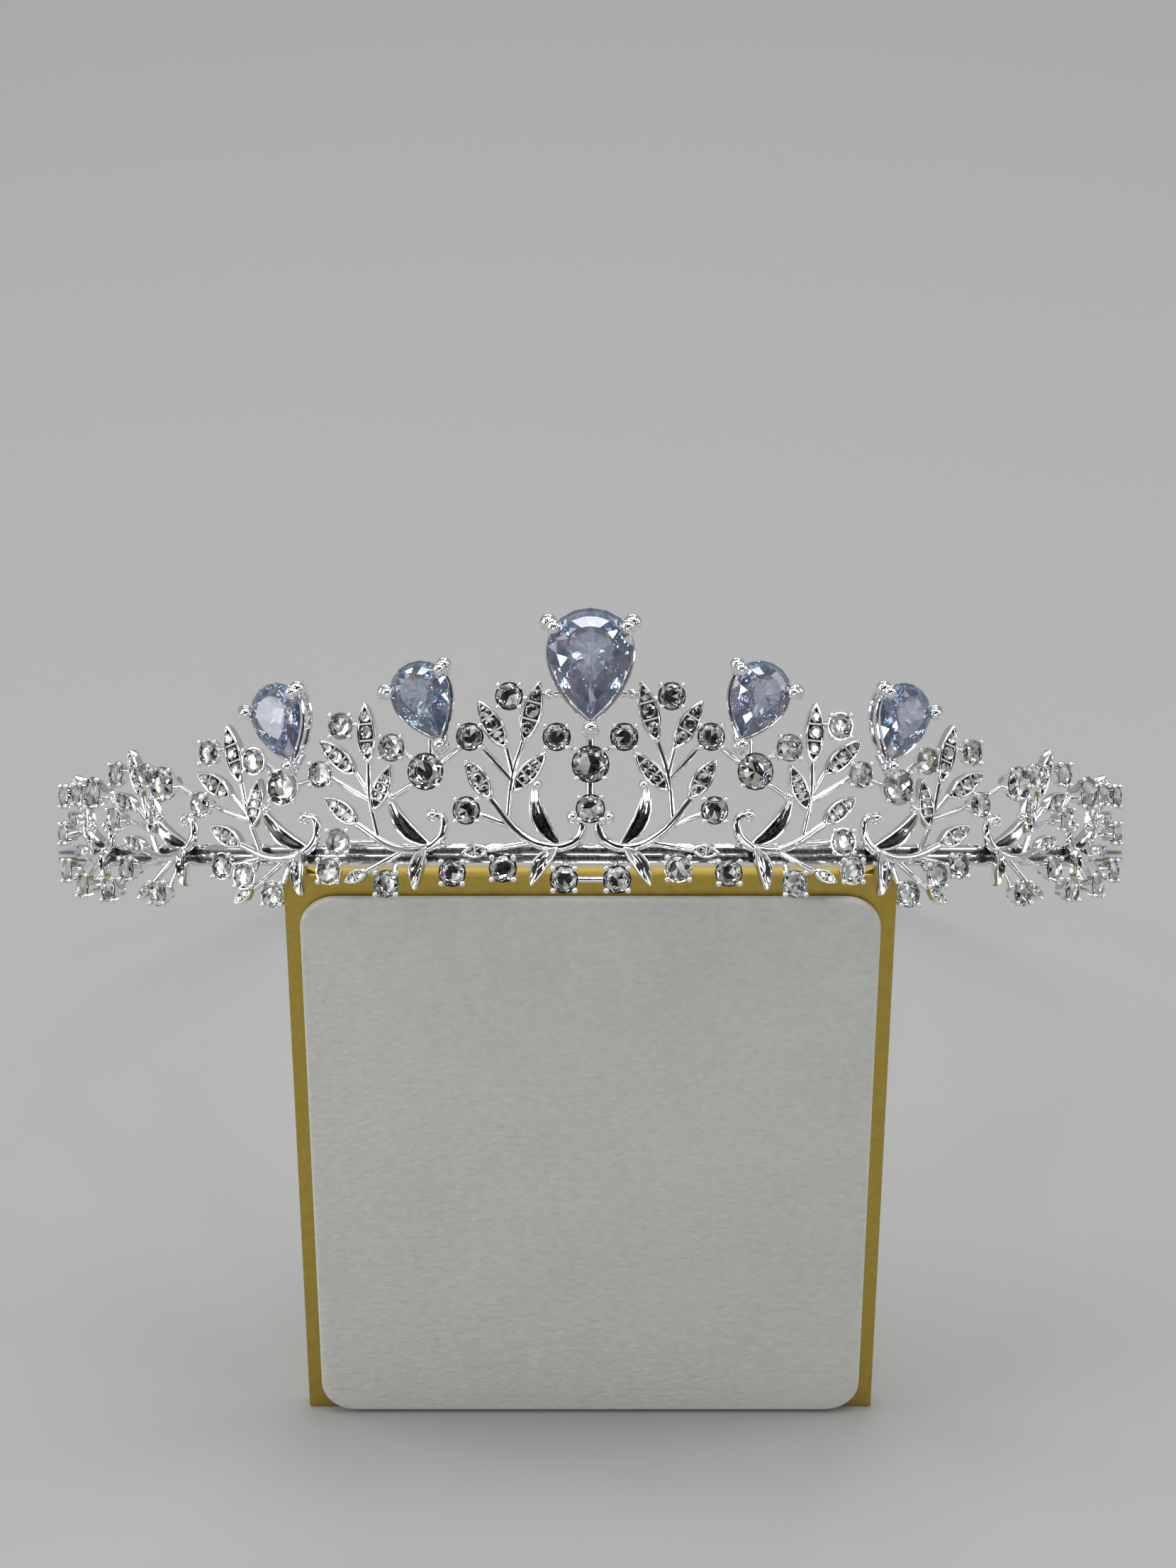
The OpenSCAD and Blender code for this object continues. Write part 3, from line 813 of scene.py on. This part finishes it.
def wrapped(pieces, name):
    """Join wires, wrap them round the band and copy them to both sides."""
    flat = wrap(silver_piece(pieces, name))
    for side, flip in FLIPS.items():
        declare_silver(joined([twin(flat, WORN @ flip)], f"{name}_{side}"))
    discard(flat)


print("wires are drawn", STEM_D, "and", WIRE_D, "mm thick")

# %% [markdown]
# Each scroll starts in a tight curl with a ball at its end, swells at its foot on the band and
# thins out towards the leaves. Thinner stems branch off it and carry the leaves and small stones.
# A maker solders them on; here a wire simply ends inside the other.

# %% Scrolls and stems of the five motifs
BALL_D, LINK_BEAD_D, LINK_BEAD_UP = 1.6, 1.3, 0.1
SWELL = (1.0, 1.0, 1.05, 1.15, 1.15, 1.0, 0.85)
for m in range(len(MOTIFS)):
    curl = [kicked(in_motif(m, p), 0) for p in SCROLL]
    wires = [draw_wire(curl, WIRE_D, SWELL), bead(curl[0], BALL_D)]
    wires += [stem(*(in_motif(m, p) for p in points)) for points in STEMS]
    wires.append(bead(kicked(in_motif(m, LINK), LINK_BEAD_UP), LINK_BEAD_D))
    wrapped(wires, f"scroll_{m + 1}")
print("scrolls done")

# %% [markdown]
# Short stems tie every column to the motifs beside it, and each stone of the fringe hangs from the
# band on its own wire. In the middle a thicker post carries the first column, and a bar joins the
# two innermost fringe stones. These two lie across the middle, so they aren't mirrored.

# %% Ties between the motifs, and the hangers of the fringe
PEAR_BEAD_OUT, PEAR_BEAD_UP, POST_TOP = 4.9, 0.4, 0.95
ties = []
for k, (_, round_up, pear_up, _) in enumerate(COLUMNS):
    at = column_at(k, round_up)
    ties.append(stem(at, in_motif(k, SPRAY[0])))
    if k:
        ties.append(stem(at, in_motif(k - 1, SPRAY[2])))
    if k == 1:
        ties.append(stem(at, in_motif(k, LINK)))
    if k and pear_up:
        ties.append(stem(at, column_at(k, pear_up)))
ties += [stem(column_at(0, LOW_ROUND_UP), in_motif(0, SCROLL[0])),
         stem(column_at(0, PEAR_LINK[1]), in_motif(0, PEAR_LINK)),
         bead((PEAR_BEAD_OUT, MOTIF * PEAR_LINK[1], STEM_LIFT + PEAR_BEAD_UP), LINK_BEAD_D)]
for p in fringe:
    top = (p.x, BAND_FOOT + STEM_D / 2, BACK)
    ties.append(draw_wire([kicked(p, STEM_LIFT), top], STEM_D))
wrapped(ties, "ties")

middle_ties = [stem(column_at(0, LOW_ROUND_UP), column_at(0, POST_TOP), thick=WIRE_D),
               stem(fringe[0] * Vector((-1, 1)), fringe[0])]
declare_silver(place(silver_piece([wrap(wire) for wire in middle_ties], "middle_ties"), WORN))
print("ties done")

# %% [markdown]
# ## Leaves
# The leaves are almonds cut from sheet. A circle is drawn out to a pointed shape by resizing its
# corners pair by pair, so its two sides match, and it is fullest a little below the middle.

# %% Shape an almond
FULLEST, POINTED = 0.9, 0.75


def almond(name, l, w):
    """A pointed outline from -l/2 to l/2."""
    obj = start_disc(name, 20, l / 2)
    for k in range(1, 10):
        x = l / 2 * cos(pi * k / 10)
        along = 0.5 + x / l
        half = w / 2 * sin(pi * along ** FULLEST) ** POINTED
        pick(lambda v: abs(v.co.x - x) < l / 500)
        resize(1, half / (l / 2 * sin(pi * k / 10)))
    pick(lambda f: True, "faces")
    return obj


def paint_hollow_shade(obj, below, end):
    """Silver, with painted shade on what looks up from below a height, up to an end."""
    for face in finished(obj, silver, painted_shade_silver).data.polygons:
        sunk = face.center.z < below and face.normal.z > 0.01
        face.material_index = int(sunk and face.center.x < end)
    return obj


print("a leaf's metal is", LEAF_T, "mm thick")

# %% [markdown]
# A set leaf has a thin bright rim with a lip, round a sunk bed with painted shade. The rim is made
# by
# extruding and resizing in turn: up, in, down, in, and down to the bed. A plain leaf is thick, bowed
# like a comma and hollowed towards its base, and its hollow can get painted shade.

# %% Set leaves and plain leaves
LIP, SUNK = 0.14, 0.2
EDGE = {"segments": 2, "limit_method": "ANGLE", "angle_limit": radians(25)}


def set_leaf(l, w):
    """A leaf with a raised rim round an empty bed."""
    obj = almond("set_leaf", l, w)
    extrude(z=LEAF_T - LIP)
    extrude(z=LIP)
    resize(1 - 1.4 * LEAF_RIM / l, 1 - 0.8 * LEAF_RIM / w)
    extrude(z=-LIP)
    resize(1 - 1.8 * LEAF_RIM / l, 1 - 1.2 * LEAF_RIM / w)
    extrude(z=LIP - LEAF_BED)
    resize(0.97)
    modified(closed(obj), "BEVEL", width=0.06, **EDGE)
    # Painted shade on the sunk bed.
    return paint_hollow_shade(obj, BACK + LEAF_T - SUNK, l)


def plain_leaf(l, w, bow, dark):
    """A thick hollowed leaf, bowed by a share of its length, with painted shade up to a share of its
    metal.
    """
    obj = almond("plain_leaf", l, w)
    extrude(z=LEAF_T * 0.86)
    extrude(z=LEAF_T * 0.10)
    resize(1 - 0.3 / l, 1 - 0.3 / w)
    extrude(z=-SUNK)
    resize(1 - 0.5 / l, 1 - 0.5 / w)
    extrude(z=-LEAF_T * 0.5)
    resize(0.55, 0.42, about=(-l * 0.16, 0, 0))
    modified(closed(obj), "BEVEL", width=0.1, **EDGE)
    # Painted shade in the base end of the hollow.
    paint_hollow_shade(obj, BACK + LEAF_T * dark, l * 0.05)
    for v in obj.data.vertices:
        along = 0.5 + v.co.x / l
        v.co.y += bow * l * 4 * along * (1 - along)
    return obj


def leaf_places(base, tip):
    """Where a leaf lies in each motif, and how much smaller than the pattern it is."""
    places = []
    for m, (_, _, _, size) in enumerate(MOTIFS):
        a, b = in_motif(m, base), in_motif(m, tip)
        run = b - a
        places.append(at_band((a + b) / 2, atan2(run.y, run.x))
                      @ Matrix.Diagonal((size, size, 1, 1)))
    return places


def leaf_length(base, tip):
    return MOTIF * hypot(tip[0] - base[0], tip[1] - base[1])


print("the tallest leaf is", round(leaf_length(*SET_LEAVES[1][:2]), 1), "mm long")

# %% [markdown]
# The beds are the finest work of all: three stones of one to two millimetres in a leaf, two in the
# smallest, with metal rungs across. Each rung is a thin bar of its own. One stone of size 1 is cut
# and copied at every size; only its crown shows, so its back is a plain cone.

# %% Leaves with tiny stones
# the places of a bed's rungs, then the places and diameters of its stones, in lengths and widths
FULL_BED = ((-0.12, 0.15), ((-0.25, 0.58), (0.015, 0.66), (0.27, 0.54)))
LADDER_BED = ((-0.25, -0.08, 0.09, 0.25), ((-0.165, 0.5), (0.005, 0.56), (0.17, 0.5)))
SHORT_BED = ((0.0,), ((-0.16, 0.60), (0.17, 0.56)))
BEDS = (LADDER_BED, FULL_BED, FULL_BED, FULL_BED, SHORT_BED)
RUNG_R, TINY_UP = 0.12, 0.28


def make_rung(x, l, w):
    """A bar across the bed, shorter towards the leaf's ends."""
    obj = start(bpy.ops.mesh.primitive_cylinder_add, "rung", vertices=8, radius=RUNG_R,
                depth=(w - LEAF_RIM) * (1 - 2.4 * x * x), rotation=(pi / 2, 0, 0),
                location=(x * l, 0, BACK + LEAF_T - SUNK))
    return closed(obj)


def tiny_seat(x, d):
    return (Matrix.Translation((x, 0, BACK + LEAF_T - LEAF_BED + TINY_UP))
            @ Matrix.Diagonal((d, d, d, 1)))


tiny = cut_stone("tiny", 8, round_outline(8, 1), 0.3, 0.18, (clear_crown, clear_coat), cut=[])
for number, ((base, tip, share), (rungs, gems)) in enumerate(zip(SET_LEAVES, BEDS)):
    length, width = leaf_length(base, tip), MOTIF * share
    places = leaf_places(base, tip)
    pattern = joined([set_leaf(length, width), *(make_rung(x, length, width) for x in rungs)],
                     "set_leaf")
    declare_silver(*both_sides(pattern, places, f"set_leaves_{number + 1}"))
    seats = [tiny_seat(x * length, d * width) for x, d in gems]
    for stones in both_sides(tiny, [where @ seat for where in places for seat in seats],
                             f"tiny_stones_{number + 1}", seed=f"tiny {number}"):
        declare(stones, "clear_stone", "tiara_frame")
    discard(pattern)
discard(tiny)
print("leaves with tiny stones done")

# %% [markdown]
# Two plain leaves spring from the foot of every scroll, one up and one down, both bowed outwards.
# Only the upper one's hollow gets painted shade; the lower one stays bright silver.

# %% Plain leaves
BOW_AND_DARK = ((-0.15, 0.72), (0.10, 0))
for number, ((base, tip, share), look) in enumerate(zip(PLAIN_LEAVES, BOW_AND_DARK)):
    pattern = plain_leaf(leaf_length(base, tip), MOTIF * share, *look)
    declare_silver(*both_sides(pattern, leaf_places(base, tip), f"plain_leaves_{number + 1}"))
    discard(pattern)
print("plain leaves done")

# %% [markdown]
# ## Pear stones
# The five pear stones are held in open galleries: a ring at the back, a second ring just below the
# stone's edge, short struts between the two, and three posts, two at the head and one at the point.
# A post bends over the stone's edge and carries a polished ball at its knee and one at its tip.

# %% Model a pear setting
RING_POINTS, BACK_RING, BACK_RING_UP, GALLERY_DOWN = 40, 0.8, 0.35, 0.45
SETTING_D, BACK_RING_D = 0.45, 0.7
# how far a post's foot, knee and tip lie from the stone's middle, in shares of its grown outline
HEAD_POST, POINT_POST = (0.84, 1.07, 0.94), (0.84, 1.14, 1.1)


def gallery_pieces(w, l, top):
    """The two rings and the struts between them."""
    low = pear_outline(RING_POINTS, w * BACK_RING, l * BACK_RING)
    rim = pear_outline(RING_POINTS, w + 0.1, l)
    drop = Vector((0, -l * 0.04))
    back = [(*low(k), BACK + BACK_RING_UP) for k in range(RING_POINTS)]
    front = [(*(rim(k) + drop), top - GALLERY_DOWN) for k in range(RING_POINTS)]
    rings = [draw_wire(back, BACK_RING_D, ring=True), draw_wire(front, SETTING_D, ring=True)]
    return rings + [draw_wire([back[k], (*front[k][:2], top - BACK_RING_UP)], SETTING_D)
                    for k in range(0, RING_POINTS, 4)]


def post_pieces(w, l, top, head, ball):
    """Three posts with their balls."""
    grown = pear_outline(RING_POINTS, w + 0.5, l + 0.7)
    pieces = []
    for k, reach in ((0, POINT_POST), (head, HEAD_POST), (RING_POINTS - head, HEAD_POST)):
        foot, knee, tip = (grown(k) * share for share in reach)
        pieces += [draw_wire([(*foot, BACK + 0.4), (*knee, top - 0.3), (*tip, top + 0.6)],
                             ball * 0.5),
                   bead((*knee, top + 0.1), ball), bead((*tip, top + 0.9), ball * 0.85)]
    return pieces


def pear_setting(w, l, head, ball):
    top = girdle_z(w * PEAR_PAVILION)
    return silver_piece(gallery_pieces(w, l, top) + post_pieces(w, l, top, head, ball),
                        "pear_setting")


print("a setting is made of wire", SETTING_D, "and", BACK_RING_D, "mm thick")

# %% [markdown]
# The middle pear is larger than the four beside it, so there are two patterns. Each pear points
# down, and those at the sides lean outwards. The cut has four rings of facets below the girdle,
# because a pear this large shows every one of them.

# %% Set the pear stones
PEAR_SIDES, CULET_SHIFT = 20, 0.11
# each pattern's size, how far round the outline its head's posts stand, its balls, its places
for (w, l), head, ball, spots in ((PEAR, 14.5, 2.2, [("center", 0, "right")]),
                                  (SIDE_PEAR, 13.4, 2.0, round_spots[1:5])):
    setting = pear_setting(w, l, head, ball)
    pear = cut_stone("pear", PEAR_SIDES, pear_outline(PEAR_SIDES, w, l), w * PEAR_PAVILION,
                     w * CROWN, (lilac_glass, lilac_glass), RICH_CUT, shift=l * CULET_SHIFT)
    for word, k, side in spots:
        _, _, up, turn = COLUMNS[k]
        set_stone(setting, pear, girdle_z(w * PEAR_PAVILION),
                  at_band(column_at(k, up), -radians(turn)), side,
                  f"setting_{word}", f"pear_{word}", "lilac_stone", word)
    discard(setting, pear)
print("pear stones set")

# %% [markdown]
# ## Headband
# The band that carries everything is a flat strip with three rounded ribs. Its section is drawn
# once and spun: a quarter turn over the forehead, then a flatter arc that runs down behind the ear.
# The angles are below zero, because a spin without a window turns clockwise. The other half is its
# mirror image, and the seam between them is merged.

# %% Spin the headband
BAND_MID, STEPS, GROOVES, GROOVE_HALF = BAND_R + BAND_T / 2, 12, (4, 8), 0.8
# how far each step of the section's outer side is pushed in, from the foot up
PUSHES = {0: 0.15, 2: -0.1, 3: 0.2, 4: 0.45, 5: 0.2, 6: -0.1, 7: 0.2, 8: 0.45, 9: 0.2,
          10: -0.1, 12: 0.15}


def draw_section():
    """The band's section at the forehead, open in edit mode."""
    centre = (0, -BAND_MID, BAND_FOOT + BAND_H / 2)
    obj = start(bpy.ops.mesh.primitive_plane_add, "headband", size=1, rotation=(0, pi / 2, 0),
                location=centre)
    resize(1, BAND_T, BAND_H, about=centre)
    pick(lambda e: all(v.co.y < -BAND_MID for v in e.verts), "edges")
    bpy.ops.mesh.subdivide(number_cuts=STEPS - 1)
    for step, push in PUSHES.items():
        z = BAND_FOOT + BAND_H * step / STEPS
        pick(lambda v: v.co.y < -BAND_MID and abs(v.co.z - z) < 0.01)
        bpy.ops.transform.translate(value=(0, push, 0))
    pick(lambda f: True, "faces")
    return obj


def make_headband():
    obj = draw_section()
    bpy.ops.mesh.spin(steps=40, angle=-pi / 2, center=(0, 0, 0), axis=(0, 0, 1))
    bpy.ops.mesh.spin(steps=16, angle=-ARM_TURN, center=(BAND_MID - ARM_R, 0, 0),
                      axis=(0, 0, 1))
    pick(lambda f: all(abs(v.co.x) < 0.001 for v in f.verts), "faces")
    bpy.ops.mesh.delete(type="FACE")
    modified(closed(obj), "MIRROR")
    bpy.ops.object.mode_set(mode="EDIT")
    # The two grooves between the ribs get painted shade.
    for face in finished(closed(obj), silver, painted_groove_shade).data.polygons:
        step = (face.center.z - BAND_FOOT) / BAND_H * STEPS
        face.material_index = int(min(abs(step - groove) for groove in GROOVES) < GROOVE_HALF)
    return joined([place(obj, WORN)], "ribbed_headband")


headband = make_headband()
declare_silver(headband)
print("headband", [round(c / MM, 1) for c in headband.dimensions], "mm")

# %% [markdown]
# ## The stand
# A gold plate with a crinkled pad stands under the diadem. The plate is a bevelled block with two
# rounded top corners. The pad is a thin hard board covered in leather-look, so its face is flat and
# only its edges are soft. The strut behind keeps its plain shape and gets the plate's finish.

# %% Plate and pad
PAD_CORNER, PLATE_EDGE, PAD_EDGE = 4.4, 0.2, 0.45


def rounded_board(name, node, corner, edge, finish, only_top=False):
    """A board that fills a node's box, with rounded corners in its outline and softened edges."""
    low, high = (Vector(c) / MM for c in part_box(node))
    size, mid = high - low, (high + low) / 2
    obj = start(bpy.ops.mesh.primitive_cube_add, name, size=1, location=mid)
    resize(*size, about=mid)
    pick(lambda e: abs(e.verts[0].co.y - e.verts[1].co.y) > size.y / 2
         and (e.verts[0].co.z > mid.z or not only_top), "edges")
    bpy.ops.mesh.bevel(offset=corner, segments=10, affect="EDGES")
    modified(closed(obj), "BEVEL", width=edge, segments=3, limit_method="ANGLE",
             angle_limit=radians(60))
    return joined([place(finished(obj, finish), TO_METRES)], name)


plate = rounded_board("gold_plate", "stand_plate", PLATE_CORNER, PLATE_EDGE, satin_gold, True)
declare(plate, "gold_plate", "stand_plate")
pad = rounded_board("leather_pad", "stand_pad", PAD_CORNER, PAD_EDGE, leather)
declare(pad, "pad", "stand_pad")

strut_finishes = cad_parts["stand_strut"].data.materials
strut_finishes.clear()
strut_finishes.append(satin_gold)
print("stand done")

# %% [markdown]
# ## Studio
# The diadem stands on a plain pale floor. Five soft lights, one overhead, a low one in front, a
# window on the left, a strip on the right and one behind, give the broad pale reflections. Nine
# small ones add glints to facets and beads.

# %% Floor and lights
bpy.ops.mesh.primitive_plane_add(size=4, location=(0, 0, 0))
floor = bpy.context.object
floor.name = "studio_floor"
ground, _, ground_shader = new_finish("pale_ground", Roughness=0.75)
ground_shader.inputs["Base Color"].default_value = (0.40, 0.402, 0.40, 1)
floor.data.materials.append(ground)


def softbox(name, place_at, aim, size, power):
    light = bpy.data.lights.new(name, "AREA")
    light.shape, light.size, light.size_y, light.energy = "RECTANGLE", *size, power
    lamp = bpy.data.objects.new(name, light)
    bpy.context.collection.objects.link(lamp)
    lamp.location = place_at
    lamp.rotation_euler = (Vector(aim) - Vector(place_at)).to_track_quat("-Z", "Y").to_euler()


CENTRE, SPARK_SIZE, SPARK_POWER = (0, 0.02, 0.08), (0.1, 0.1), 0.32
SPARKS = ((-0.35, -0.6, 0.75), (0.3, -0.75, 0.5), (0.55, -0.2, 0.8), (-0.6, 0.2, 0.7),
          (0.05, -0.35, 0.95), (-0.15, -0.8, 0.35), (0.7, -0.5, 0.45), (-0.7, -0.45, 0.3),
          (0.25, 0.5, 0.85))
softbox("overhead", (0, 0.05, 1.0), CENTRE, (0.9, 0.26), 5.1)
softbox("front", (0, -0.9, 0.18), (0, 0, 0.02), (1.0, 0.16), 0.9)
softbox("window", (-0.8, -0.1, 0.5), CENTRE, (0.4, 0.7), 2.1)
softbox("strip", (0.8, 0.1, 0.45), CENTRE, (0.25, 0.7), 1.3)
softbox("back", (0, 0.9, 0.6), CENTRE, (0.8, 0.3), 1.5)
for spark in SPARKS:
    softbox("spark", spark, CENTRE, SPARK_SIZE, SPARK_POWER)
print("lit by", len(bpy.data.lights), "lights")

# %% [markdown]
# The room is grey, but nearly black where the photographer stands. That gives the dark lines
# without which polished silver looks like grey plastic. The world's colour follows how nearly a
# direction points that way.

# %% Surroundings
DARK_SIDE = (0.0, -0.86, 0.51)
world = bpy.data.worlds.new("studio")
bpy.context.scene.world = world
world.use_nodes = True
room = world.node_tree
backdrop = room.nodes["Background"].inputs
direction = add_node(room, "ShaderNodeTexCoord").outputs["Generated"]
towards = add_node(room, "ShaderNodeVectorMath", {0: direction, 1: DARK_SIDE},
                   operation="DOT_PRODUCT")
shade = ramp(room, towards.outputs["Value"],
             [(0.0, grey(0.31)), (0.67, grey(0.29)), (0.83, grey(0.02))])
room.links.new(shade.outputs["Color"], backdrop["Color"])
backdrop["Strength"].default_value = 1.0
bpy.context.scene.view_settings.view_transform = "Standard"
print("surroundings ready")

# %% [markdown]
# ## Camera
# The photograph looks down at the diadem by 32.5 degrees from close by. The camera's distance and
# lens follow from how many of the picture's 1659 by 2212 points one millimetre takes, its place
# from where the foot of the scrollwork's middle lies in the picture.

# %% Camera
PICTURE_W, PICTURE_H, FOCAL, DISTANCE, LOOK = 1659, 2212, 5500, 458, radians(32.5)
TARGET_X, TARGET_Y = 833, 1195
forward = Vector((0, cos(LOOK), -sin(LOOK)))
upward = Vector((0, sin(LOOK), cos(LOOK)))
target = WORN @ Vector((0, -MOTIF_R, 0)) / MM
eye = (target - DISTANCE * forward
       + (TARGET_Y - PICTURE_H / 2) / FOCAL * DISTANCE * upward
       - Vector(((TARGET_X - PICTURE_W / 2) / FOCAL * DISTANCE, 0, 0)))
camera_data = bpy.data.cameras.new("camera")
camera_data.lens = camera_data.sensor_width * FOCAL / PICTURE_H
camera = bpy.data.objects.new("camera", camera_data)
bpy.context.collection.objects.link(camera)
camera.location = eye * MM
camera.rotation_euler = (pi / 2 - LOOK, 0, 0)
bpy.context.scene.camera = camera
print("camera at", [round(c, 1) for c in eye], "mm, lens", round(camera_data.lens, 1))
